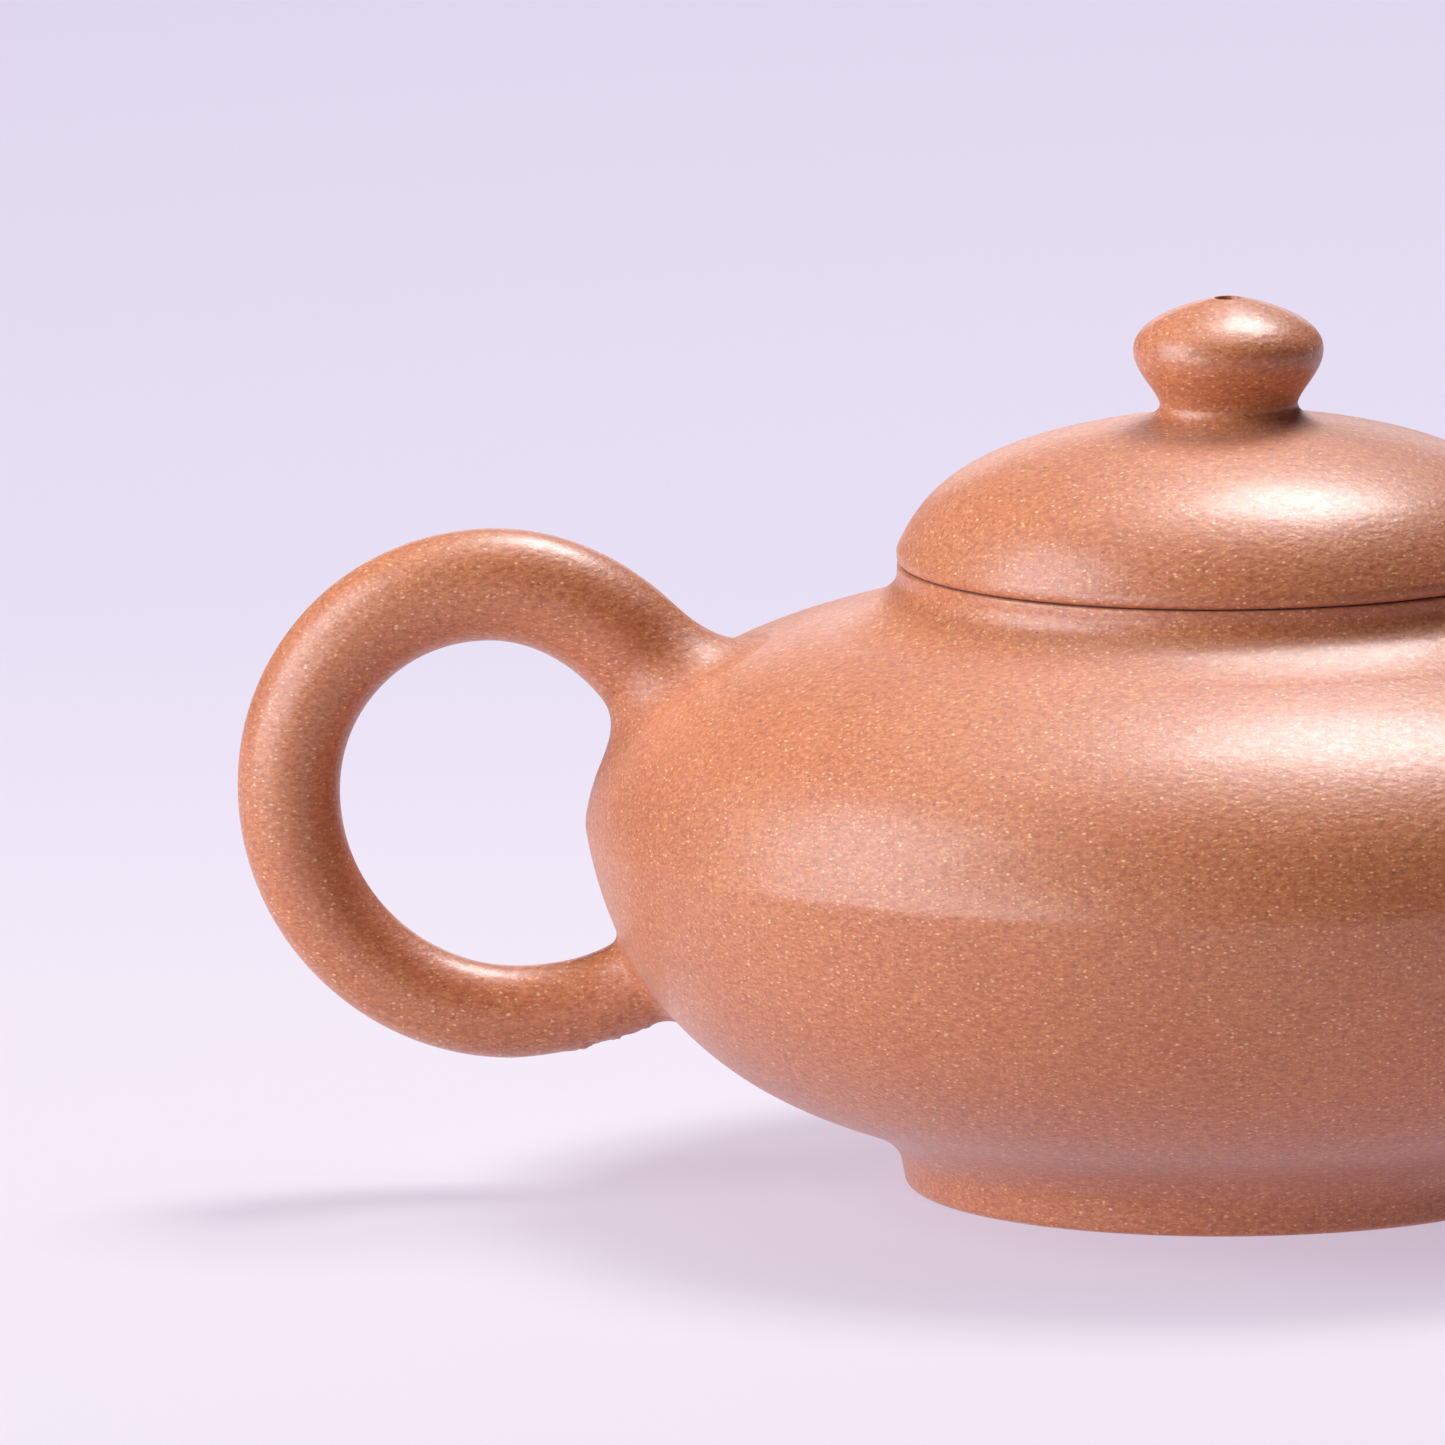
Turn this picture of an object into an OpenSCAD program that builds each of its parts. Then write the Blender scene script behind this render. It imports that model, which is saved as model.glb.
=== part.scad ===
// A round clay teapot with a ring handle, a short curved spout and a lift-off lid.
// Millimetres, +Z up. The origin is on the table, under the vertical axis of the pot.
// The handle is on the -X side and the spout on the +X side.
// Every piece is a slab, a coil or a small shape of clay, and each has its own module.

/* [Body] */
// Radius of the belly at its soft ridge, the widest line of the pot
belly_r = 52; // [50:0.5:56]
// Height of the ridge above the table
ridge_z = 29.5; // [28:0.5:31]
// Thickness of the clay slabs that make the walls
wall = 2.8; // [2.4:0.1:3.2]

/* [Foot] */
// Outer radius of the foot ring where it stands on the table
foot_r = 26.6; // [25:0.2:28]
// Width of the flat face that the foot ring stands on
foot_w = 3.4; // [3:0.1:4]
// Clear height under the base, inside the foot ring
foot_recess = 5; // [4.6:0.1:5.4]

/* [Mouth] */
// Height of the flat rim that the lid sits on
rim_z = 50.4; // [50.4:0.1:51.5]
// Outer radius of the neck and of the lid's edge
rim_r = 26.75; // [26:0.05:27.2]
// Radius of the round mouth inside the neck
mouth_r = 22.8; // [22:0.1:23.2]

/* [Lid] */
// Height of the dome's top above the rim, under the knob
dome_h = 12.2; // [11:0.1:13.5]
// Gap between the rim and the face of the lid that rests over it
seat_gap = 0.12; // [0.05:0.01:0.3]
// Thickness of the flat seat slab under the dome
seat_t = 2.2; // [2:0.1:2.6]
// Radial play between the lid's flange and the mouth
flange_play = 0.3; // [0.2:0.05:0.4]
// How far the flange reaches down into the mouth
flange_depth = 7.5; // [6:0.5:9]
// Thickness of the flange
flange_t = 2.6; // [2.2:0.1:3]

/* [Knob] */
// Radius of the knob at its widest line
knob_r = 7.66; // [7:0.02:8.4]
// Radius of the waist between the knob and its collar
waist_r = 5.55; // [5:0.05:6]
// Height of the knob above its waist
knob_h = 8.7; // [8:0.1:9.5]
// Diameter of the vent hole
vent_d = 2.1; // [1.6:0.1:2.6]

/* [Handle] */
// Diameter of the handle coil near the shoulder
handle_d_top = 9.8; // [9:0.1:10.6]
// Diameter of the handle coil near the belly's underside
handle_d_low = 7.1; // [6.6:0.1:7.6]
// Distance of the coil's outermost centre point from the pot's axis
handle_reach = 75.8; // [74:0.2:78]
// Height of the coil's centre at its highest point
handle_top_z = 48.8; // [47:0.2:50]
// Height of the coil's centre at its lowest point
handle_low_z = 14; // [13:0.2:15]

/* [Spout] */
// Distance of the spout's lip from the pot's axis
spout_reach = 79.8; // [78:0.2:82]
// Height of the centre of the spout's mouth
spout_z = 49.4; // [48:0.2:51]
// Outer radius of the spout at its root
spout_root_r = 11; // [10:0.2:12]
// Outer radius of the spout at its lip
spout_tip_r = 4.4; // [4.2:0.1:5]
// Angle of the spout's mouth end above the horizontal
spout_tip_angle = 62; // [56:1:68]

/* [Strainer] */
// Outer radius of the domed strainer behind the spout
strainer_r = 10; // [9.6:0.2:10.4]
// Diameter of each hole in the strainer
strainer_hole_d = 2; // [1.6:0.1:2.2]

/* [Hidden] */

$fn = 96;
far = 200;          // longer than anything in the pot, for cutting
clay = [0.70, 0.44, 0.32];
clay_dark = [0.60, 0.36, 0.26];
clay_light = [0.78, 0.52, 0.40];

// ---- curves ----

// A step of the given length in the direction of the given angle.
function toward(angle, length) = length * [cos(angle), sin(angle)];

// A cubic curve k is four points: it runs from the first to the last, pulled by the two between.
function at(k, t) =
    let(s = 1 - t)
    s*s*s * k[0] + 3*s*s*t * k[1] + 3*s*t*t * k[2] + t*t*t * k[3];

// The unit normal of the curve, to the left of its way.
function normal(k, t) =
    let(s = 1 - t,
        v = s*s * (k[1] - k[0]) + 2*s*t * (k[2] - k[1]) + t*t * (k[3] - k[2]))
    [-v[1], v[0]] / norm(v);

// Points along a stretch of the curve, moved sideways by a distance.
function stretch(k, from, to, steps, sideways = 0) = [for (i = [0:steps])
    let(t = from + (to - from) * i / steps)
    sideways == 0 ? at(k, t) : at(k, t) + sideways * normal(k, t)];

function along(k, steps) = stretch(k, 0, 1, steps);

// The same points without the first, which the curve before has already given.
function onward(points) = [for (i = [1:len(points) - 1]) points[i]];

// A quarter of a circle around a centre, for small rounded edges.
function quarter(centre, r, from) = [for (i = [0:4]) centre + toward(from + i * 22.5, r)];

// ---- outlines of the turned shapes: [distance from the axis, height] ----

ridge = [belly_r, ridge_z];
foot_top = [foot_r + 5.1, foot_recess + 1];
neck_low = [rim_r + 6.4, rim_z - 4.9];
neck_high = [rim_r, rim_z - 0.8];

lower_curve = [foot_top, foot_top + toward(21.9, 4), ridge + toward(261.4, 18.6), ridge];
upper_curve = [ridge, ridge + toward(97, 9), neck_low + toward(-14.4, 10.2), neck_low];
neck_curve = [neck_low, neck_low + toward(166.6, 2.6), neck_high - [0, 2], neck_high];
foot_curve = [[foot_r + 0.2, 1.8], [foot_r + 0.35, 3.6], foot_top + toward(201.9, 2.5), foot_top];

base_r = foot_r + 2.4;             // radius of the round hole that the base disc fills
base_top = foot_recess + wall;     // top of the base disc
edge_r = 0.6;                      // rounding of the outer edges
slip = 0.03;                       // width left for the slip that joins two pieces

lid_z = rim_z + seat_gap;          // underside of the lid
lid_edge = [rim_r, lid_z + 1];
lid_top = [0, rim_z + dome_h];
lid_curve = [lid_edge, lid_edge + toward(114.5, 6), lid_top + toward(-5, 20), lid_top];
flange_r = mouth_r - flange_play;
seat_share = 0.12;                 // the share of lid_curve that belongs to the seat's edge

waist_z = rim_z + dome_h + 0.5;
knob_waist = [waist_r, waist_z];
knob_wide = [knob_r, waist_z + knob_h / 2];
knob_top = [0, waist_z + knob_h];
knob_low_curve = [knob_waist, knob_waist + [0.35, 1.3], knob_wide - [0, 1.8], knob_wide];
knob_high_curve = [knob_wide, knob_wide + [0, 3.2], knob_top, knob_top];
collar_foot = [9.8, waist_z - 1.75];

shoulder_t = 0.56;                 // where the shoulder disc begins, as a share of upper_curve
past_ridge = 0.07;                 // where the inside of upper_curve clears that of lower_curve

belly_skin = concat(along(lower_curve, 16), onward(stretch(upper_curve, 0, shoulder_t, 9)));
belly_inside = concat(
    stretch(upper_curve, shoulder_t, past_ridge, 8, wall),
    stretch(lower_curve, 1, 0, 16, wall));
shoulder_skin = stretch(upper_curve, shoulder_t, 1, 7);
dome_skin = stretch(lid_curve, seat_share, 1, 22);

// The solid shape of the body, from the base up to the neck.
module body_outline()
    polygon(concat([[0, foot_recess], [base_r, foot_recess]],
        belly_skin, onward(shoulder_skin), [[0, neck_low[1]]]));

// Turns an outline round the axis, starting clear of the handle and the spout.
module turn_round()
    rotate([0, 0, 90])
        rotate_extrude()
            children();

module body_solid()
    turn_round()
        body_outline();

// ---- turned pieces of the pot ----

module belly_wall()
    color(clay)
        difference() {
            turn_round()
                polygon(concat([[base_r, base_top], [base_r, foot_recess]],
                    belly_skin, belly_inside));
            spout_port();
        }

// The round hole through the wall that the spout stands over.
module spout_port()
    translate([spout_root[0], 0, spout_root[1]])
        rotate([0, 90 - spout_root_angle, 0])
            cylinder(r = port_r, h = 24, center = true);

module shoulder_disc()
    color(clay_light)
        turn_round()
            polygon(concat(
                shoulder_skin,
                [[mouth_r, neck_low[1]], [mouth_r, neck_low[1] - wall]],
                stretch(upper_curve, 1, shoulder_t, 7, wall)));

module base_disc()
    color(clay_dark)
        translate([0, 0, foot_recess])
            cylinder(r = base_r - slip, h = wall);

module foot_ring()
    color(clay_dark)
        rotate_extrude()
            polygon(concat(
                [[foot_r - foot_w, 0.4], [foot_r - foot_w + 0.4, 0], [foot_r - edge_r, 0]],
                quarter([foot_r - edge_r, edge_r], edge_r, -90),
                along(foot_curve, 10),
                [[base_r, foot_recess], [foot_r - foot_w - 0.6, foot_recess]]));

module neck_ring()
    color(clay)
        rotate_extrude()
            polygon(concat(
                [[mouth_r, neck_low[1]]],
                along(neck_curve, 12),
                [[rim_r - 0.25, rim_z], [mouth_r, rim_z]]));

// ---- swept pieces: the handle coil and the spout ----

// The coil's path in the plane of the handle: [distance from the axis, height].
handle_root_top = [-43.4, ridge_z + 4.4];
handle_high = [-59.3, handle_top_z];
handle_far = [-handle_reach, 32.3];
handle_low = [-57.9, handle_low_z];
handle_root_low = [-43.4, ridge_z - 8.8];

handle_curves = [
    [handle_root_top, handle_root_top + [0, 6.5], handle_high + [8.8, 0], handle_high],
    [handle_high, handle_high - [9.3, 0], handle_far + [0, 9], handle_far],
    [handle_far, handle_far - [0, 10.6], handle_low - [9.3, 0], handle_low],
    [handle_low, handle_low + [3, 0], handle_root_low - [2.6, 5.5], handle_root_low]];

handle_steps = 10;                 // steps along each of the four curves
handle_path = concat([handle_root_top],
    [for (k = handle_curves, i = [1:handle_steps]) at(k, i / handle_steps)]);

// The direction of the path at each of its points, in degrees.
function headings(path) = [for (i = [0:len(path) - 1])
    let(v = path[min(i + 1, len(path) - 1)] - path[max(i - 1, 0)])
    atan2(v[1], v[0])];

// A ring of points around a path point, square to the path.
function ring(centre, heading, r, sides) = [for (i = [0:sides - 1])
    let(q = 360 * i / sides)
    [centre[0] - r * cos(q) * sin(heading), r * sin(q), centre[1] + r * cos(q) * cos(heading)]];

function skin(rings, sides) = [for (j = [0:rings - 2], i = [0:sides - 1])
    let(n = (i + 1) % sides)
    [j * sides + i, j * sides + n, (j + 1) * sides + n, (j + 1) * sides + i]];

function turned(faces) = [for (f = faces) [for (i = [len(f) - 1:-1:0]) f[i]]];

function shifted(faces, by) = [for (f = faces) [for (v = f) v + by]];

// A solid coil along a path, with its own direction and radius at each point.
module coil(path, way, radii, sides) {
    turns = len(path);
    points = [for (j = [0:turns - 1]) each ring(path[j], way[j], radii[j], sides)];
    first = [for (i = [sides - 1:-1:0]) i];
    last = [for (i = [0:sides - 1]) (turns - 1) * sides + i];
    polyhedron(points, concat(skin(turns, sides), [first, last]), convexity = 6);
}

// A hollow coil: an outer and an inner skin joined by a flat ring at each end.
module sleeve(path, way, outer_radii, inner_radii, sides) {
    turns = len(path);
    outer = [for (j = [0:turns - 1]) each ring(path[j], way[j], outer_radii[j], sides)];
    inner = [for (j = [0:turns - 1]) each ring(path[j], way[j], inner_radii[j], sides)];
    step = turns * sides;
    near_end = [for (i = [0:sides - 1])
        let(n = (i + 1) % sides)
        [n, i, step + i, step + n]];
    far_end = [for (i = [0:sides - 1])
        let(n = (i + 1) % sides, e = (turns - 1) * sides)
        [e + i, e + n, step + e + n, step + e + i]];
    polyhedron(concat(outer, inner),
        concat(skin(turns, sides), shifted(turned(skin(turns, sides)), step), near_end, far_end),
        convexity = 8);
}

handle_sides = 24;
handle_turns = len(handle_path);
handle_way = headings(handle_path);

// The coil thins evenly from the shoulder down to its lowest point, then swells a little.
function handle_radius(i) =
    let(t = i / (handle_turns - 1), swell = max(0, t - 0.85) / 0.15)
    (handle_d_top + (handle_d_low - handle_d_top) * min(1, t / 0.85)) / 2 + 0.8 * swell * swell;

handle_radii = [for (i = [0:handle_turns - 1]) handle_radius(i)];

module handle()
    color(clay)
        difference() {
            coil(handle_path, handle_way, handle_radii, handle_sides);
            body_solid();
        }

// Clay smoothed around one end of a coil, thick at the body and thin along the coil.
module joint_clay(path, way, radii, flare, sides) {
    last = len(path) - 1;
    outer_radii = [for (i = [0:last]) radii[i] + 0.15 + flare * pow(1 - i / last, 2.2)];
    inner_radii = [for (r = radii) r + slip];
    difference() {
        sleeve(path, way, outer_radii, inner_radii, sides);
        body_solid();
    }
}

upper_joint_rings = 9;
lower_joint_rings = 7;

module handle_upper_joint_clay()
    color(clay_light)
        joint_clay(
            [for (i = [0:upper_joint_rings]) handle_path[i]],
            [for (i = [0:upper_joint_rings]) handle_way[i]],
            [for (i = [0:upper_joint_rings]) handle_radii[i]],
            4, handle_sides);

module handle_lower_joint_clay()
    color(clay_light)
        joint_clay(
            [for (i = [0:lower_joint_rings]) handle_path[handle_turns - 1 - i]],
            [for (i = [0:lower_joint_rings]) handle_way[handle_turns - 1 - i] + 180],
            [for (i = [0:lower_joint_rings]) handle_radii[handle_turns - 1 - i]],
            2.4, handle_sides);

spout_root = [44, ridge_z - 3];
spout_tip = [spout_reach - spout_tip_r * sin(spout_tip_angle), spout_z];
spout_pull = spout_root + toward(16, 16);
spout_root_angle = 16;
spout_steps = 16;
spout_sides = 28;
port_r = 7.6;

spout_path = along(
    [spout_root, spout_pull, spout_tip - toward(spout_tip_angle, 15), spout_tip], spout_steps);
spout_way = headings(spout_path);
spout_outer = [for (i = [0:spout_steps])
    spout_tip_r + (spout_root_r - spout_tip_r) * pow(1 - i / spout_steps, 1.5)];
spout_inner = [for (i = [0:spout_steps])
    let(t = i / spout_steps)
    spout_outer[i] - (wall * (1 - t) + 1.5 * t)];

module spout()
    color(clay)
        difference() {
            sleeve(spout_path, spout_way, spout_outer, spout_inner, spout_sides);
            body_solid();
        }

spout_joint_rings = 6;

module spout_joint_clay()
    color(clay_light)
        joint_clay(
            [for (i = [0:spout_joint_rings]) spout_path[i]],
            [for (i = [0:spout_joint_rings]) spout_way[i]],
            [for (i = [0:spout_joint_rings]) spout_outer[i]],
            2.2, spout_sides);

// ---- strainer: a pierced half ball on the inside of the wall, over the port ----

strainer_t = 1.8;
strainer_centre = [belly_r - wall - 1.2, spout_root[1] + 1.5];

module strainer()
    color(clay_dark)
        difference() {
            translate([strainer_centre[0], 0, strainer_centre[1]])
                sphere(r = strainer_r);
            turn_round()
                polygon(concat([[far, foot_recess], [far, neck_low[1]]], belly_inside));
            translate([strainer_centre[0], 0, strainer_centre[1]]) {
                sphere(r = strainer_r - strainer_t);
                strainer_holes();
            }
        }

module strainer_holes()
    rotate([0, -90, 0]) {
        strainer_hole(0, 0);
        for (a = [0:60:300])
            strainer_hole(25, a);
        for (a = [15:30:345])
            strainer_hole(49, a);
    }

module strainer_hole(tilt, turn)
    rotate([0, 0, turn])
        rotate([0, tilt, 0])
            translate([0, 0, 0.6 * strainer_r])
                cylinder(d = strainer_hole_d, h = 0.6 * strainer_r, $fn = 24);

// ---- lid ----

module lid_dome()
    color(clay)
        turn_round()
            difference() {
                polygon(concat(
                    dome_skin,
                    [lid_top - [0, wall]],
                    stretch(lid_curve, 0.95, seat_share, 20, wall)));
                square([vent_d * 0.7, far]);
            }

module lid_seat()
    color(clay_light)
        turn_round()
            polygon(concat(
                [[flange_r - flange_t, lid_z], [rim_r - edge_r, lid_z]],
                quarter([rim_r - edge_r, lid_z + edge_r], edge_r, -90),
                stretch(lid_curve, 0, seat_share, 3),
                [at(lid_curve, seat_share) + wall * normal(lid_curve, seat_share)],
                [[flange_r - flange_t, lid_z + seat_t]]));

module lid_flange()
    color(clay_dark)
        rotate_extrude()
            polygon([
                [flange_r - flange_t, lid_z],
                [flange_r - flange_t, lid_z - flange_depth + 0.6],
                [flange_r - flange_t + 0.6, lid_z - flange_depth],
                [flange_r - 0.9, lid_z - flange_depth],
                [flange_r, lid_z - flange_depth + 1.2],
                [flange_r, lid_z]]);

module knob_collar()
    color(clay_light)
        rotate_extrude()
            difference() {
                polygon(concat([[0, collar_foot[1] - 1]], [collar_foot - [0, 1]],
                    along([collar_foot, collar_foot + [-2.4, 0.5], knob_waist - [0, 1.1], knob_waist], 8),
                    [[0, waist_z]]));
                translate([0, slip])
                    polygon(concat([[0, lid_z], [rim_r, lid_z]], dome_skin));
                square([vent_d / 2, far]);
            }

module knob()
    color(clay)
        rotate_extrude()
            difference() {
                polygon(concat([[0, waist_z]], along(knob_low_curve, 10),
                    onward(along(knob_high_curve, 14))));
                square([vent_d / 2, far]);
            }

belly_wall();
shoulder_disc();
base_disc();
foot_ring();
neck_ring();
spout();
spout_joint_clay();
strainer();
handle();
handle_upper_joint_clay();
handle_lower_joint_clay();
lid_dome();
lid_seat();
lid_flange();
knob_collar();
knob();
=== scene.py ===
"""The looks of a round clay teapot with a ring handle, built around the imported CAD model.

Shapes are worked out in millimetres, as in the CAD source, and become metres when a mesh is made.
An outline is a list of (distance from the axis, height) points. Every piece is a closed mesh of
its own that stands for one CAD node.
"""

import bmesh
import bpy
import numpy as np
from mathutils import Matrix, Vector, noise


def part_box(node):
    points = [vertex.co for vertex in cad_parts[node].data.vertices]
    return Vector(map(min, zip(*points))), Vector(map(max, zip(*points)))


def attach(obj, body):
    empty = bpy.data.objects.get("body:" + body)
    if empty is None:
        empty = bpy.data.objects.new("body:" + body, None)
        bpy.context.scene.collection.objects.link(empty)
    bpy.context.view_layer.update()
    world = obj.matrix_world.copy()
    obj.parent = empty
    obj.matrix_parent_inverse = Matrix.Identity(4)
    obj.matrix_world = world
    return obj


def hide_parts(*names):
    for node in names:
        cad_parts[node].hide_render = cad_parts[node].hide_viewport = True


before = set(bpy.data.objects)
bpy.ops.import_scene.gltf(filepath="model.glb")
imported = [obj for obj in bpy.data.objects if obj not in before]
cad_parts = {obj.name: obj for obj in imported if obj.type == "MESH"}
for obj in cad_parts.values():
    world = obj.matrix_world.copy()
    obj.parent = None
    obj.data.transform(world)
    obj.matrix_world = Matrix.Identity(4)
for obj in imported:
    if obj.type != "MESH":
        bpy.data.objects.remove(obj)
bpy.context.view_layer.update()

MM = 0.001

# ---------------------------------------------------------------- sizes: some read from the CAD nodes, the rest given


def low(node):
    """The node's lowest corner, in mm."""
    return np.array(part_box(node)[0]) / MM


def high(node):
    """The node's highest corner, in mm."""
    return np.array(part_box(node)[1]) / MM


RIDGE_R = high("belly_wall")[1]
RIDGE_Z = 29.5
WALL = 2.8
FOOT_R = 26.6
FOOT_W = 3.4
RECESS = low("base_disc")[2]
BASE_R = high("base_disc")[1]
RIM_R = high("lid_seat")[1]
RIM_Z = high("neck_ring")[2]
LID_Z = low("lid_seat")[2]
LID_TOP = high("lid_dome")[2]
FLANGE_R = high("lid_flange")[1]
MOUTH_R = FLANGE_R + 0.3
FLANGE_T = 2.6
FLANGE_LOW = low("lid_flange")[2]
SEAT_T = 2.2
WAIST_Z = low("knob")[2]
WAIST_R = 5.55
KNOB_R = high("knob")[1]
KNOB_TOP = WAIST_Z + 8.7
VENT_R = 1.05
HANDLE_X = 75.8
HANDLE_TOP = 48.8
HANDLE_LOW = 14.0
HANDLE_ROOT_R = 9.8 / 2
HANDLE_THIN_R = 7.1 / 2
HANDLE_THIN_AT = 0.85
HANDLE_SWELL = 0.8
SPOUT_X = high("spout")[0]
SPOUT_Z = 49.4
SPOUT_ROOT_X = 44
SPOUT_TILT = 16
SPOUT_LENGTH = 45
TIP_R = 4.4
TIP_ANGLE = 62
LIP = 1.5
ROOT_R = 11.0
PORT_R = 7.6
PORT_DEPTH = 24

# ---------------------------------------------------------------- curves and outlines


def pt(r, z):
    """A point or a step of an outline."""
    return np.array([r, z], float)


def toward(angle, length):
    """A step of the given length. The angle is in degrees, up from outwards."""
    a = np.radians(angle)
    return length * np.array([np.cos(a), np.sin(a)])


def at(k, t):
    """Points of the cubic curve k, which has four control points, at the shares t of its way."""
    t = np.atleast_1d(np.asarray(t, float))[:, None]
    s = 1 - t
    return s**3 * k[0] + 3 * s * s * t * k[1] + 3 * s * t * t * k[2] + t**3 * k[3]


def normal(k, t):
    """Unit normals of the curve, to the left of its way."""
    t = np.atleast_1d(np.asarray(t, float))[:, None]
    s = 1 - t
    v = s * s * (k[1] - k[0]) + 2 * s * t * (k[2] - k[1]) + t * t * (k[3] - k[2])
    v /= np.linalg.norm(v, axis=1)[:, None]
    return np.column_stack([-v[:, 1], v[:, 0]])


def stretch(k, start, end, steps, sideways=0.0):
    """Points of the curve k from share start to share end, moved sideways mm to the left of its way."""
    t = np.linspace(start, end, steps + 1)
    return at(k, t) + (sideways * normal(k, t) if sideways else 0)


def arc(centre, r, start, end, steps):
    """Points of a circle from one angle to another, in degrees."""
    return np.array([centre + toward(a, r) for a in np.linspace(start, end, steps + 1)])


ridge = pt(RIDGE_R, RIDGE_Z)
spout_root = pt(SPOUT_ROOT_X, RIDGE_Z - 3)
foot_top = pt(FOOT_R + 5.1, RECESS + 1)
neck_low = pt(RIM_R + 6.4, RIM_Z - 4.9)
neck_high = pt(RIM_R, RIM_Z - 0.8)
lower_curve = [foot_top, foot_top + toward(21.9, 4), ridge + toward(261.4, 18.6), ridge]
upper_curve = [ridge, ridge + toward(97, 9), neck_low + toward(-14.4, 10.2), neck_low]
neck_curve = [neck_low, neck_low + toward(166.6, 2.6), neck_high - pt(0, 2), neck_high]
foot_curve = [pt(FOOT_R + 0.2, 1.8), pt(FOOT_R + 0.35, 3.6),
    foot_top + toward(201.9, 2.5), foot_top]
SHOULDER_T = 0.56  # the share of the upper curve where the wall ends and the shoulder begins
PAST_RIDGE = 0.07  # the inner wall leaves out this share, where its curve would cross itself
BASE_TOP = RECESS + WALL

lid_edge = pt(RIM_R, LID_Z + 1)
lid_apex = pt(0, LID_TOP)
lid_curve = [lid_edge, lid_edge + toward(114.5, 6), lid_apex + toward(-5, 20), lid_apex]
SEAT_SHARE = 0.12  # the share of the lid's curve where the seat ends and the dome begins
waist = pt(WAIST_R, WAIST_Z)
knob_wide = pt(KNOB_R, WAIST_Z + 4.35)
knob_apex = pt(0, KNOB_TOP)
knob_low_curve = [waist, waist + pt(0.35, 1.3), knob_wide - pt(0, 1.8), knob_wide]
knob_high_curve = [knob_wide, knob_wide + pt(0, 3.2), knob_apex, knob_apex]
COLLAR_SHARE = 0.815  # where the collar meets the dome
collar_foot = at(lid_curve, COLLAR_SHARE)[0] + 0.04 * normal(lid_curve, COLLAR_SHARE)[0]
dome_way = normal(lid_curve, COLLAR_SHARE)[0][::-1] * (-1, 1)
collar_curve = [collar_foot, collar_foot - 2.6 * dome_way, waist - pt(0, 1.0), waist]

# The ridge is a soft crease: a short curve rounds its corner.
SOFT = 0.006
ridge_low = at(lower_curve, 1 - SOFT)[0]
ridge_high = at(upper_curve, 2 * SOFT)[0]
ridge_curve = [ridge_low, 0.4 * ridge_low + 0.6 * ridge,
    0.4 * ridge_high + 0.6 * ridge, ridge_high]

body_profile = np.vstack([
    stretch(foot_curve, 0, 1, 30),
    stretch(lower_curve, 0, 1 - SOFT, 120)[1:],
    stretch(ridge_curve, 0, 1, 8)[1:],
    stretch(upper_curve, 2 * SOFT, 1, 110)[1:],
    stretch(neck_curve, 0, 1, 30)[1:]])


def nearest(points):
    """Where the body's profile comes nearest to each (x, y, z) point.

    It gives the start of the nearest segment, the segment's step, the share of that step, the way
    from the start to the point, and the distance.
    """
    p = np.column_stack([np.hypot(points[:, 0], points[:, 1]), points[:, 2]])
    a = body_profile[:-1]
    d = body_profile[1:] - a
    w = p[:, None, :] - a[None]
    t = np.clip((w * d).sum(2) / (d * d).sum(1), 0, 1)
    off = w - t[..., None] * d
    dist = np.hypot(off[..., 0], off[..., 1])
    near = dist.argmin(1)
    rows = np.arange(len(p))
    return a[near], d[near], t[rows, near], w[rows, near], dist[rows, near]


def depth_outside(points):
    """How far each (x, y, z) point is outside the body's turned surface, in mm; inside is negative."""
    _, d, _, w, dist = nearest(points)
    side = d[:, 0] * w[:, 1] - d[:, 1] * w[:, 0]
    return np.where(side < 0, 1, -1) * dist


def on_body(points):
    """The nearest points of the body's turned surface, with its outward normals there."""
    out = points[:, :2] / np.hypot(points[:, 0], points[:, 1])[:, None]
    a, d, t, _, _ = nearest(points)
    foot = a + t[:, None] * d
    way = d / np.linalg.norm(d, axis=1)[:, None]
    n = np.column_stack([way[:, 1], -way[:, 0]])
    where = np.column_stack([out * foot[:, :1], foot[:, 1]])
    facing = np.column_stack([out * n[:, :1], n[:, 1]])
    return where, facing


# ---------------------------------------------------------------- meshes


UNEVEN = 0.05
CALM_R = 12  # nearer the axis than this, the unevenness fades


def hand_made(points):
    """Moves points by the slow unevenness that hands leave: about 0.1 mm, nearly always inwards."""
    moved = points.copy()
    for i, p in enumerate(points):
        v = Vector(p)
        slow = noise.noise(v * 0.045) + 0.35 * noise.noise(v * 0.16)
        push = UNEVEN * (slow - 1.1)
        r = max((p[0] ** 2 + p[1] ** 2) ** 0.5, 1e-6)
        share = min(1.0, r / CALM_R)
        moved[i, 0] += push * share * p[0] / r
        moved[i, 1] += push * share * p[1] / r
    return moved


def drilled(mesh, hole):
    """The mesh with a round hole cut through it.

    A hole is its centre, the tilt of its axis up from +X in degrees, its radius and its depth.
    """
    centre, tilt, radius, depth = hole
    place = Matrix.Translation(Vector(centre) * MM) @ Matrix.Rotation(np.radians(90 - tilt), 4, "Y")
    work = bmesh.new()
    bmesh.ops.create_cone(work, cap_ends=True, segments=96, radius1=radius * MM, radius2=radius * MM,
        depth=depth * MM, matrix=place)
    drill = bpy.data.meshes.new("drill")
    work.to_mesh(drill)
    work.free()
    solid = bpy.data.objects.new("solid", mesh)
    tool = bpy.data.objects.new("tool", drill)
    for thing in (solid, tool):
        bpy.context.scene.collection.objects.link(thing)
    cut = solid.modifiers.new("hole", "BOOLEAN")
    cut.operation = "DIFFERENCE"
    cut.solver = "EXACT"
    cut.object = tool
    graph = bpy.context.evaluated_depsgraph_get()
    result = bpy.data.meshes.new_from_object(solid.evaluated_get(graph))
    for thing in (solid, tool):
        bpy.data.objects.remove(thing)
    return result


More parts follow.
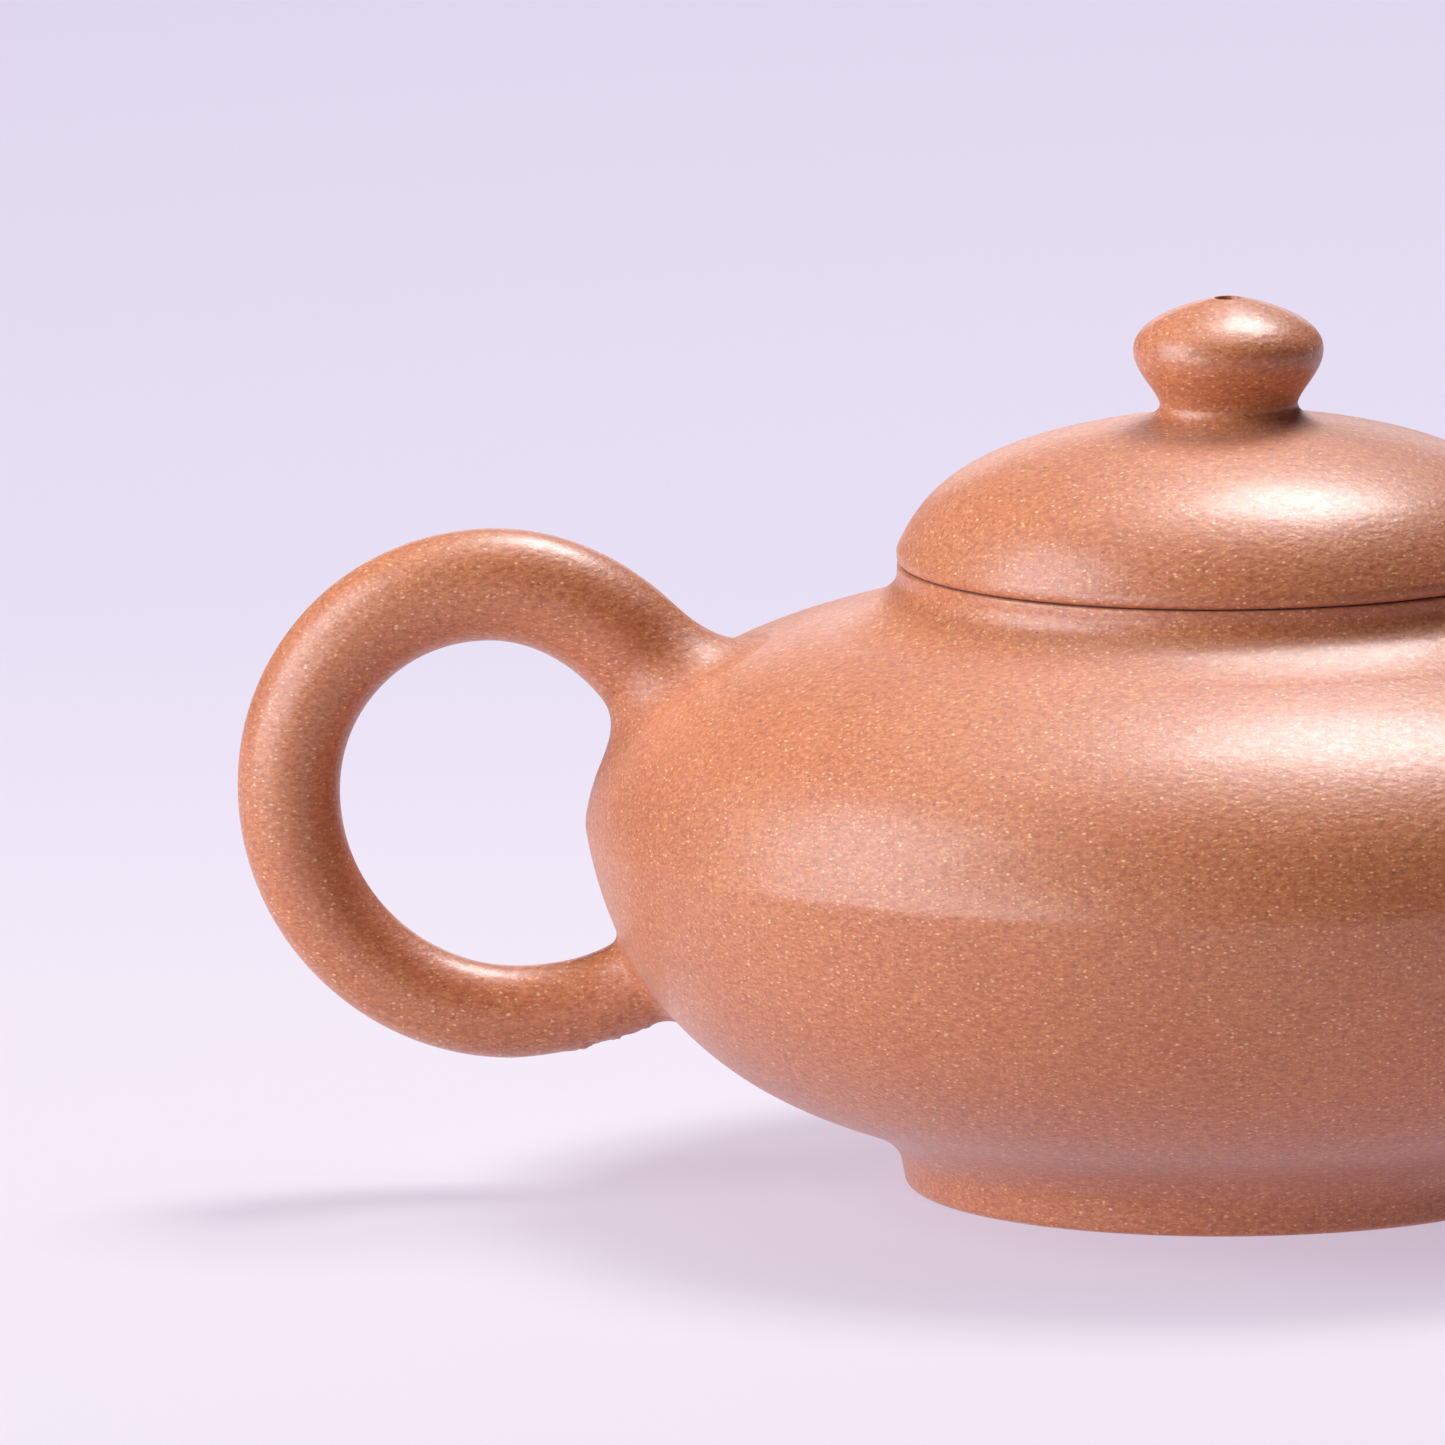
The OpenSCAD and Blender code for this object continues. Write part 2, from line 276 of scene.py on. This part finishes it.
def make(name, points, faces, body, sharp=40, hole=None):
    """A mesh object from points in mm and faces. It rides on the body.

    It has the name of the CAD node that it stands for.
    """
    points = hand_made(np.asarray(points, float))
    mesh = bpy.data.meshes.new(name)
    mesh.from_pydata((points * MM).tolist(), [], faces)
    work = bmesh.new()
    work.from_mesh(mesh)
    bmesh.ops.recalc_face_normals(work, faces=work.faces)
    work.to_mesh(mesh)
    work.free()
    if hole:
        mesh = drilled(mesh, hole)
    mesh.shade_smooth()
    mesh.set_sharp_from_angle(angle=np.radians(sharp))
    piece = bpy.data.objects.new(name, mesh)
    bpy.context.scene.collection.objects.link(piece)
    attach(piece, body)
    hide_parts(name)
    return piece


def turned(name, outline, body, turns=320, **more):
    """A solid turned round the axis from a closed outline. A point on the axis becomes one vertex."""
    a = 2 * np.pi * np.arange(turns) / turns
    points, rows = [], []
    for r, z in outline:
        if r < 1e-6:
            rows.append([len(points)])
            points.append((0, 0, z))
        else:
            rows.append(list(range(len(points), len(points) + turns)))
            points.extend(zip(r * np.cos(a), r * np.sin(a), np.full(turns, z)))
    faces = []
    for one, two in zip(rows, rows[1:] + rows[:1]):
        if len(one) == 1 and len(two) == 1:
            continue
        for i in range(turns):
            j = (i + 1) % turns
            if len(one) == 1:
                faces.append((one[0], two[i], two[j]))
            elif len(two) == 1:
                faces.append((one[i], two[0], one[j]))
            else:
                faces.append((one[i], two[i], two[j], one[j]))
    return make(name, points, faces, body, **more)


SIDES = 96
around = 2 * np.pi * np.arange(SIDES) / SIDES


def skin_faces(rows, closed=False):
    """Quads between rows of SIDES points that each go round. closed joins the last row to the first."""
    faces = []
    for j in range(rows if closed else rows - 1):
        k = (j + 1) % rows
        for i in range(SIDES):
            n = (i + 1) % SIDES
            faces.append((j * SIDES + i, j * SIDES + n, k * SIDES + n, k * SIDES + i))
    return faces


# ---------------------------------------------------------------- turned pieces of the pot

wall_outer = np.vstack([
    stretch(lower_curve, 0, 1 - SOFT, 110),
    stretch(ridge_curve, 0, 1, 8)[1:],
    stretch(upper_curve, 2 * SOFT, SHOULDER_T, 56)[1:]])
wall_inner = np.vstack([
    stretch(upper_curve, SHOULDER_T, PAST_RIDGE, 24, WALL),
    stretch(lower_curve, 1, 0, 48, WALL)])
belly_wall = turned("belly_wall",
    np.vstack([[(BASE_R, BASE_TOP), (BASE_R, RECESS)], wall_outer, wall_inner]),
    "pot", hole=((spout_root[0], 0, spout_root[1]), SPOUT_TILT, PORT_R, PORT_DEPTH))

shoulder_disc = turned("shoulder_disc",
    np.vstack([
        stretch(upper_curve, SHOULDER_T, 1, 56),
        [(RIM_R + 1, neck_low[1]), (MOUTH_R, neck_low[1])],
        arc(pt(MOUTH_R + 0.8, neck_low[1] - WALL + 0.8), 0.8, 180, 270, 5),
        stretch(upper_curve, 1, SHOULDER_T, 24, WALL)]),
    "pot")

base_disc = turned("base_disc",
    [(0, RECESS + 0.5), (8, RECESS + 0.46), (16, RECESS + 0.3), (21, RECESS), (BASE_R, RECESS),
        (BASE_R, BASE_TOP), (21, BASE_TOP), (16, BASE_TOP + 0.3), (8, BASE_TOP + 0.46),
        (0, BASE_TOP + 0.5)],
    "pot")

foot_inner = FOOT_R - FOOT_W
foot_ring = turned("foot_ring",
    np.vstack([
        arc(pt(foot_inner + 0.5, 0.5), 0.5, 180, 270, 5),
        arc(pt(FOOT_R - 0.7, 0.7), 0.7, -90, 0, 8),
        stretch(foot_curve, 0, 1, 30),
        [(BASE_R, RECESS), (foot_inner - 0.6, RECESS)]]),
    "pot")

neck_ring = turned("neck_ring",
    np.vstack([
        [(MOUTH_R, neck_low[1])],
        stretch(neck_curve, 0, 1, 36),
        arc(pt(RIM_R - 0.22, RIM_Z - 0.22), 0.22, 0, 90, 5),
        arc(pt(MOUTH_R + 0.3, RIM_Z - 0.3), 0.3, 90, 180, 5)]),
    "pot")

# ---------------------------------------------------------------- the lid

flange_inner = FLANGE_R - FLANGE_T
lid_seat = turned("lid_seat",
    np.vstack([
        [(flange_inner, LID_Z)],
        arc(pt(RIM_R - 0.4, LID_Z + 0.4), 0.4, -90, 0, 8),
        stretch(lid_curve, 0, SEAT_SHARE, 16),
        at(lid_curve, SEAT_SHARE) + WALL * normal(lid_curve, SEAT_SHARE),
        [(flange_inner, LID_Z + SEAT_T)]]),
    "lid")

lid_dome = turned("lid_dome",
    np.vstack([
        stretch(lid_curve, SEAT_SHARE, 0.94, 110),
        [(VENT_R * 1.4, LID_TOP), (VENT_R * 1.4, LID_TOP - WALL)],
        stretch(lid_curve, 0.92, SEAT_SHARE, 40, WALL)]),
    "lid")

lid_flange = turned("lid_flange",
    np.vstack([
        [(flange_inner, LID_Z)],
        arc(pt(flange_inner + 0.8, FLANGE_LOW + 0.8), 0.8, 180, 270, 5),
        [(FLANGE_R - 1.1, FLANGE_LOW), (FLANGE_R - 0.6, FLANGE_LOW + 0.25),
            (FLANGE_R, FLANGE_LOW + 1.4), (FLANGE_R, LID_Z)]]),
    "lid")

knob_collar = turned("knob_collar",
    np.vstack([
        [(VENT_R, WAIST_Z), (VENT_R, LID_TOP - 0.3), collar_foot + pt(-0.6, -0.6)],
        stretch(collar_curve, 0, 1, 28)]),
    "lid", turns=160)

knob = turned("knob",
    np.vstack([
        [(VENT_R, WAIST_Z)],
        stretch(knob_low_curve, 0, 1, 30),
        stretch(knob_high_curve, 0, 0.7, 40)[1:],
        [(VENT_R + 0.06, KNOB_TOP - 0.22), (VENT_R, KNOB_TOP - 0.3)]]),
    "lid", turns=160)

# ---------------------------------------------------------------- the handle coil and the spout

root_top = pt(-43.4, RIDGE_Z + 4.4)
coil_high = pt(-59.3, HANDLE_TOP)
coil_far = pt(-HANDLE_X, 32.3)
coil_low = pt(-57.9, HANDLE_LOW)
root_low = pt(-43.4, RIDGE_Z - 8.8)
handle_curves = [
    [root_top, root_top + pt(0, 6.5), coil_high + pt(8.8, 0), coil_high],
    [coil_high, coil_high - pt(9.3, 0), coil_far + pt(0, 9), coil_far],
    [coil_far, coil_far - pt(0, 10.6), coil_low - pt(9.3, 0), coil_low],
    [coil_low, coil_low + pt(3, 0), root_low - pt(2.6, 5.5), root_low]]


class Sweep:
    """A round coil in the XZ plane: its path, and its radius at each share s of the path."""

    def __init__(self, curves, radius, fine=120):
        rows = [at(k, np.linspace(0, 1, fine + 1))[(1 if i else 0):] for i, k in enumerate(curves)]
        self.path = np.vstack(rows)
        self.s = np.linspace(0, 1, len(self.path))
        way = np.gradient(self.path, axis=0)
        self.heading = np.unwrap(np.arctan2(way[:, 1], way[:, 0]))
        self.radius = radius

    def surface(self, s, q, grow=0.0):
        """Points on the skin at shares s and angles q round the coil, both arrays of one shape."""
        x = np.interp(s, self.s, self.path[:, 0])
        z = np.interp(s, self.s, self.path[:, 1])
        h = np.interp(s, self.s, self.heading)
        r = self.radius(s) + grow
        up = r * np.cos(q)
        return np.stack([x - up * np.sin(h), r * np.sin(q), z + up * np.cos(h)], -1)

    def centre(self, s):
        """The point on the middle line at the share s."""
        x, z = (np.interp(s, self.s, self.path[:, i]) for i in (0, 1))
        return np.array([x, 0, z])


def crossing(skin, q, start, end, deep):
    """The share s at which each line along the skin goes deep mm under the body's surface."""
    s = np.linspace(start, end, 400)
    found = []
    for angle in q:
        d = depth_outside(skin(s, np.full_like(s, angle))) + deep
        inside = np.nonzero(d < 0)[0]
        i = inside[0] if len(inside) else len(s) - 1
        if i == 0:
            found.append(s[0])
        else:
            f = d[i - 1] / (d[i - 1] - d[i])
            found.append(s[i - 1] + f * (s[i] - s[i - 1]))
    return np.array(found)


def handle_radius(s):
    """It thins from its upper root nearly to its lower end, and swells a little there."""
    s = np.asarray(s, float)
    swell = np.clip(s - HANDLE_THIN_AT, 0, None) / (1 - HANDLE_THIN_AT)
    thinning = np.minimum(1, s / HANDLE_THIN_AT)
    return HANDLE_ROOT_R + (HANDLE_THIN_R - HANDLE_ROOT_R) * thinning + HANDLE_SWELL * swell**2


handle_sweep = Sweep(handle_curves, handle_radius)
END_DEPTH = 1.2  # a coil ends this far under the body's surface
BURR = 0.2
BURR_Z = 18
BURR_X = -54


def build_handle():
    """The coil, closed at both ends inside the wall, with a rough burr under its lower end."""
    up = crossing(handle_sweep.surface, around, 0.4, 0.0, END_DEPTH)
    down = crossing(handle_sweep.surface, around, 0.6, 1.0, END_DEPTH)
    rows = 300
    u = np.linspace(0, 1, rows)
    s = up[None] + (down - up)[None] * u[:, None]
    q = np.broadcast_to(around, s.shape)
    points = handle_sweep.surface(s, q).reshape(-1, 3)
    faces = skin_faces(rows)
    for i, p in enumerate(points):
        under = min(1, max(0, (BURR_Z - p[2]) / 3)) * min(1, max(0, (p[0] - BURR_X) / 1.5))
        if under > 0:
            n = noise.noise(Vector((p[0] * 0.9, p[1] * 0.5, 7))) + 0.7 * noise.noise(Vector(p) * 2.6)
            points[i, 2] += under * BURR * min(1.0, max(-1.0, 1.6 * n))
    for row in (0, rows - 1):
        ring = points[row * SIDES:(row + 1) * SIDES]
        points = np.vstack([points, ring.mean(0)])
        for i in range(SIDES):
            faces.append((row * SIDES + i, len(points) - 1, row * SIDES + (i + 1) % SIDES))
    return make("handle", points, faces, "pot")


UNDER = 0.35  # joint clay goes this far under the skins that it covers
CORNER_UNDER = 0.6  # and this far under the corner between them


def joint(name, sweep, start, end, back, out, fullness=1.15, steps=22):
    """Clay worked into the corner between a coil and the body.

    It starts on the coil, back mm before the coil meets the body, and ends on the body, out mm
    past the meeting line.
    """
    meet = crossing(sweep.surface, around, start, end, 0)
    length = np.linalg.norm(np.diff(sweep.path, axis=0), axis=1).sum()
    sign = np.sign(end - start)
    s0 = meet - sign * back / length
    first = sweep.surface(s0, around)
    before = sweep.surface(s0 - sign * 0.002, around)
    along = first - before
    along /= np.linalg.norm(along, axis=1)[:, None]
    corner = sweep.surface(meet, around)
    _, facing = on_body(corner)
    axis = np.array([sweep.centre(m) for m in meet])
    away = corner - axis
    away -= (away * facing).sum(1)[:, None] * facing
    away /= np.linalg.norm(away, axis=1)[:, None]
    last, facing = on_body(corner + away * out)
    leave = last - corner
    leave -= (leave * facing).sum(1)[:, None] * facing
    leave /= np.linalg.norm(leave, axis=1)[:, None]
    chord = np.linalg.norm(last - first, axis=1)[:, None]
    m0 = along * chord * fullness
    m1 = leave * chord * fullness
    rows = []
    for t in np.linspace(0, 1, steps):
        rows.append((2*t**3 - 3*t**2 + 1) * first + (t**3 - 2*t**2 + t) * m0
                    + (3*t**2 - 2*t**3) * last + (t**3 - t**2) * m1)
    under_first = sweep.surface(s0, around, grow=-UNDER)
    under_last = last - UNDER * facing
    corner_in = corner - CORNER_UNDER * facing
    rows += [under_last, corner_in, under_first]
    points = np.vstack(rows)
    return make(name, points, skin_faces(len(rows), closed=True), "pot", sharp=60)


handle = build_handle()
upper_joint = joint("handle_upper_joint_clay", handle_sweep, 0.4, 0.0, back=4.5, out=4.5)
lower_joint = joint("handle_lower_joint_clay", handle_sweep, 0.6, 1.0, back=2.0, out=2.2)

spout_tip = pt(SPOUT_X - TIP_R * np.sin(np.radians(TIP_ANGLE)), SPOUT_Z)
spout_curves = [[spout_root, spout_root + toward(SPOUT_TILT, 16),
    spout_tip - toward(TIP_ANGLE, 15), spout_tip]]


def spout_radius(s):
    """The spout's outer radius, from root to tip."""
    return TIP_R + (ROOT_R - TIP_R) * (1 - np.asarray(s, float)) ** 1.5


def bore_radius(s):
    """The passage's radius: the wall thins to the lip."""
    s = np.asarray(s, float)
    return spout_radius(s) - (WALL * (1 - s) + LIP * s)


spout_sweep = Sweep(spout_curves, spout_radius)
bore_sweep = Sweep(spout_curves, bore_radius)


def build_spout():
    """The spout with its passage: out along the skin, over the rounded lip and back down the bore."""
    outside = crossing(spout_sweep.surface, around, 0.6, 0.0, END_DEPTH)
    inside = crossing(bore_sweep.surface, around, 0.6, 0.0, END_DEPTH)
    rows = 90
    lip = 8
    lip_share = 0.5 * LIP / SPOUT_LENGTH
    tip = 1 - lip_share
    u = np.linspace(0, 1, rows)[:, None]
    outer = outside[None] + (tip - outside)[None] * u
    inner = (inside[None] + (tip - inside)[None] * u)[::-1]
    q = np.broadcast_to(around, outer.shape)
    points = [spout_sweep.surface(outer, q).reshape(-1, 3)]
    for a in np.linspace(0, np.pi, lip + 2)[1:-1]:
        s = np.full(SIDES, tip + lip_share * np.sin(a))
        points.append(spout_sweep.surface(s, around, grow=-0.5 * LIP * (1 - np.cos(a))))
    points.append(bore_sweep.surface(inner, q).reshape(-1, 3))
    points = np.vstack(points)
    return make("spout", points, skin_faces(2 * rows + lip, closed=True), "pot")


spout = build_spout()
spout_joint = joint("spout_joint_clay", spout_sweep, 0.6, 0.0, back=4.5, out=3.6)

# ---------------------------------------------------------------- materials


def clay(name, base, rough, grain_depth, polish):
    """Fired sandy clay: mottled colour, pale and dark grains drawn out by burnishing, a fine skin.

    A scale is the number of cells or waves in a metre. grain_depth is in metres.
    """
    mat = bpy.data.materials.new(name)
    mat.use_nodes = True
    nt = mat.node_tree
    shader = nt.nodes["Principled BSDF"]
    place = nt.nodes.new("ShaderNodeTexCoord").outputs["Object"]

    def squashed(amount):
        m = nt.nodes.new("ShaderNodeMapping")
        m.inputs["Scale"].default_value = (1, 1, amount)
        nt.links.new(place, m.inputs["Vector"])
        return m.outputs["Vector"]

    drawn = squashed(1.7)

    def mottle(scale, detail=2.0, source=place):
        n = nt.nodes.new("ShaderNodeTexNoise")
        n.inputs["Scale"].default_value = scale
        n.inputs["Detail"].default_value = detail
        nt.links.new(source, n.inputs["Vector"])
        return n.outputs["Fac"]

    def cells(scale):
        v = nt.nodes.new("ShaderNodeTexVoronoi")
        v.inputs["Scale"].default_value = scale
        nt.links.new(drawn, v.inputs["Vector"])
        return v

    def remap(value, a, b, lo=0.0, hi=1.0):
        m = nt.nodes.new("ShaderNodeMapRange")
        for key, x in zip(("From Min", "From Max", "To Min", "To Max"), (a, b, lo, hi)):
            m.inputs[key].default_value = x
        nt.links.new(value, m.inputs["Value"])
        return m.outputs["Result"]

    def calc(operation, a, b):
        m = nt.nodes.new("ShaderNodeMath")
        m.operation = operation
        for socket, x in zip(m.inputs, (a, b)):
            if isinstance(x, float):
                socket.default_value = x
            else:
                nt.links.new(x, socket)
        return m.outputs[0]

    def blend(fac, a, b):
        m = nt.nodes.new("ShaderNodeMix")
        m.data_type = "RGBA"
        nt.links.new(fac, m.inputs[0])
        for socket, x in ((m.inputs[6], a), (m.inputs[7], b)):
            if isinstance(x, tuple):
                socket.default_value = (*x, 1)
            else:
                nt.links.new(x, socket)
        return m.outputs[2]

    def grains(scale, share, size, strength):
        """How much of a grain is at each place: share of the cells hold one, and size is in cells."""
        v = cells(scale)
        parts = nt.nodes.new("ShaderNodeSeparateColor")
        nt.links.new(v.outputs["Color"], parts.inputs[0])
        held = remap(parts.outputs[0], 1 - share, 1 - share + 0.02)
        rag = remap(mottle(scale * 2.2, 1), 0.3, 0.7, -0.07, 0.07)
        ragged = calc("ADD", v.outputs["Distance"], rag)
        spot = remap(ragged, size, size * 0.6)
        bold = remap(parts.outputs[1], 0.0, 1.0, 0.35 * strength, strength)
        return calc("MULTIPLY", calc("MULTIPLY", held, spot), bold)

    r, g, b = base
    colour = blend(remap(mottle(55, 3), 0.35, 0.65),
        (r * 0.95, g * 0.90, b * 0.88), (r * 1.05, g * 1.08, b * 1.08))
    colour = blend(remap(mottle(2100, 3, drawn), 0.42, 0.64, 0.0, 0.6),
        colour, (r * 0.60, g * 0.46, b * 0.40))
    colour = blend(remap(mottle(1500, 2, squashed(3.0)), 0.50, 0.70, 0.0, 0.5),
        colour, (r * 1.3, g * 1.7, b * 1.9))
    colour = blend(grains(2700, 0.55, 0.38, 0.55), colour, (0.78, 0.37, 0.15))
    colour = blend(grains(1650, 0.34, 0.30, 0.72), colour, (0.86, 0.50, 0.26))
    colour = blend(grains(1500, 0.08, 0.26, 0.75), colour, (0.12, 0.04, 0.03))
    nt.links.new(colour, shader.inputs["Base Color"])
    patchy = remap(mottle(1400, 2), 0.3, 0.7, rough - 0.05, rough + 0.08)
    nt.links.new(patchy, shader.inputs["Roughness"])
    shader.inputs["IOR"].default_value = 1.5
    shader.inputs["Specular IOR Level"].default_value = 0.7
    shader.inputs["Coat Weight"].default_value = polish
    shader.inputs["Coat Roughness"].default_value = 0.27
    shader.inputs["Sheen Weight"].default_value = 0.12
    shader.inputs["Sheen Roughness"].default_value = 0.5
    shader.inputs["Sheen Tint"].default_value = (0.92, 0.88, 1.0, 1)
    skin = calc("ADD", mottle(1250, 2, drawn), calc("MULTIPLY", mottle(2600, 1, drawn), 0.3))
    bump = nt.nodes.new("ShaderNodeBump")
    bump.inputs["Strength"].default_value = 1.0
    bump.inputs["Distance"].default_value = grain_depth
    nt.links.new(skin, bump.inputs["Height"])
    nt.links.new(bump.outputs["Normal"], shader.inputs["Normal"])
    return mat


FIRED = (0.485, 0.146, 0.048)
burnished = clay("clay_burnished", FIRED, rough=0.50, grain_depth=0.000075, polish=0.42)
worn = clay("clay_worn", FIRED, rough=0.50, grain_depth=0.000075, polish=0.31)
smoothed = clay("clay_smoothed", (0.46, 0.136, 0.045), rough=0.54, grain_depth=0.00008, polish=0.10)
plain = clay("clay_plain", (0.45, 0.13, 0.043), rough=0.65, grain_depth=0.0001, polish=0.0)
FINISHES = [
    (burnished, [base_disc, foot_ring, neck_ring, lid_seat, lid_dome, lid_flange, knob_collar, knob,
        handle, spout]),
    (worn, [belly_wall, shoulder_disc]),
    (smoothed, [upper_joint, lower_joint, spout_joint])]
for finish, pieces in FINISHES:
    for piece in pieces:
        piece.data.materials.append(finish)
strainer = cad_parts["strainer"]
strainer.data.materials.clear()
strainer.data.materials.append(plain)

# ---------------------------------------------------------------- camera, floor and light

CAM_ELEVATION = 9.3653
CAM_DISTANCE = 2.0
CAM_ROLL = -0.6226
CAM_AIM = Vector((-0.04082, 0, 0.03743))
CAM_LENS = 620.84


def add_camera():
    """A long lens on the -Y side, a little above the pot."""
    data = bpy.data.cameras.new("camera")
    data.lens = CAM_LENS
    data.sensor_width = 36
    data.clip_end = 20
    camera = bpy.data.objects.new("camera", data)
    e = np.radians(CAM_ELEVATION)
    roll = np.radians(CAM_ROLL)
    back = Vector((0, -np.cos(e), np.sin(e)))
    place = Vector((0, 0, CAM_AIM.z)) + back * CAM_DISTANCE
    view = (CAM_AIM - place).normalized()
    right = view.cross(Vector((0, 0, 1))).normalized()
    up = right.cross(view)
    rolled_right = np.cos(roll) * right + np.sin(roll) * up
    rolled_up = -np.sin(roll) * right + np.cos(roll) * up
    m = Matrix((rolled_right, rolled_up, -view)).transposed().to_4x4()
    m.translation = place
    camera.matrix_world = m
    bpy.context.scene.collection.objects.link(camera)
    bpy.context.scene.camera = camera


LIGHT_AIM = Vector((0, 0, 0.03))


def add_light(name, azimuth, elevation, distance, size, power, colour=(1, 1, 1)):
    """A soft box that faces the pot. Azimuth is in degrees from -Y round by the handle."""
    data = bpy.data.lights.new(name, "AREA")
    data.shape = "RECTANGLE"
    data.size, data.size_y = size
    data.energy = power
    data.color = colour
    light = bpy.data.objects.new(name, data)
    a, e = np.radians(azimuth), np.radians(elevation)
    d = Vector((-np.sin(a) * np.cos(e), -np.cos(a) * np.cos(e), np.sin(e)))
    light.location = LIGHT_AIM + d * distance
    light.rotation_euler = d.to_track_quat("Z", "Y").to_euler()
    bpy.context.scene.collection.objects.link(light)


# The floor's glow is painted light: it lifts the floor's shadows and lights the pot from below.
FLOOR_HALF = 60.0
FLOOR_GLOW = 0.55
GLOW_NEAR = (0.95, 0.81, 1.02, 1)
GLOW_FAR = (0.75, 0.64, 0.945, 1)
FADE_FROM = 0.02
FADE_TO = 0.34


def add_floor():
    """A pale table, flat and so wide that no view ends beyond it. It glows: painted light that lifts
    its shadows and lights the pot from below. Towards +Y the glow dims and turns violet, a painted
    falloff of light.
    """
    corners = ((-1, -1), (1, -1), (1, 1), (-1, 1))
    points = [(x * FLOOR_HALF, y * FLOOR_HALF, 0) for x, y in corners]
    faces = [(0, 1, 2, 3)]
    mesh = bpy.data.meshes.new("floor")
    mesh.from_pydata(points, [], faces)
    floor = bpy.data.objects.new("floor", mesh)
    bpy.context.scene.collection.objects.link(floor)
    mat = bpy.data.materials.new("paper_painted_glow")
    mat.use_nodes = True
    nt = mat.node_tree
    shader = nt.nodes["Principled BSDF"]
    shader.inputs["Base Color"].default_value = (0.212, 0.212, 0.198, 1)
    place = nt.nodes.new("ShaderNodeTexCoord").outputs["Object"]
    split = nt.nodes.new("ShaderNodeSeparateXYZ")
    nt.links.new(place, split.inputs[0])
    back = nt.nodes.new("ShaderNodeMapRange")
    back.interpolation_type = "SMOOTHSTEP"
    back.inputs["From Min"].default_value = FADE_FROM
    back.inputs["From Max"].default_value = FADE_TO
    nt.links.new(split.outputs["Y"], back.inputs["Value"])
    # painted light: the glow dims from GLOW_NEAR to GLOW_FAR towards +Y, a painted falloff of light
    fade = nt.nodes.new("ShaderNodeMix")
    fade.data_type = "RGBA"
    fade.inputs[6].default_value = GLOW_NEAR
    fade.inputs[7].default_value = GLOW_FAR
    nt.links.new(back.outputs["Result"], fade.inputs[0])
    nt.links.new(fade.outputs[2], shader.inputs["Emission Color"])
    shader.inputs["Emission Strength"].default_value = FLOOR_GLOW
    shader.inputs["Roughness"].default_value = 0.9
    mesh.materials.append(mat)


add_camera()
add_floor()
add_light("key", 202, 64, 1.2, (0.48, 0.52), 14.6, (0.98, 0.97, 1.0))
add_light("top", 170, 82, 1.2, (1.0, 0.9), 4.5)
add_light("side_low", 58, 7, 1.2, (1.4, 0.42), 11.0, (0.94, 1.0, 1.1))
add_light("side_high", 75, 34, 1.2, (0.8, 0.7), 11.0, (0.95, 1.0, 1.1))
add_light("back_low", 180, 10, 1.3, (0.7, 0.3), 1.2, (0.95, 0.93, 1.0))
world = bpy.data.worlds.new("world")
world.use_nodes = True
world.node_tree.nodes["Background"].inputs["Color"].default_value = (0.80, 0.78, 0.92, 1)
world.node_tree.nodes["Background"].inputs["Strength"].default_value = 0.03
bpy.context.scene.world = world
bpy.context.scene.view_settings.view_transform = "Standard"
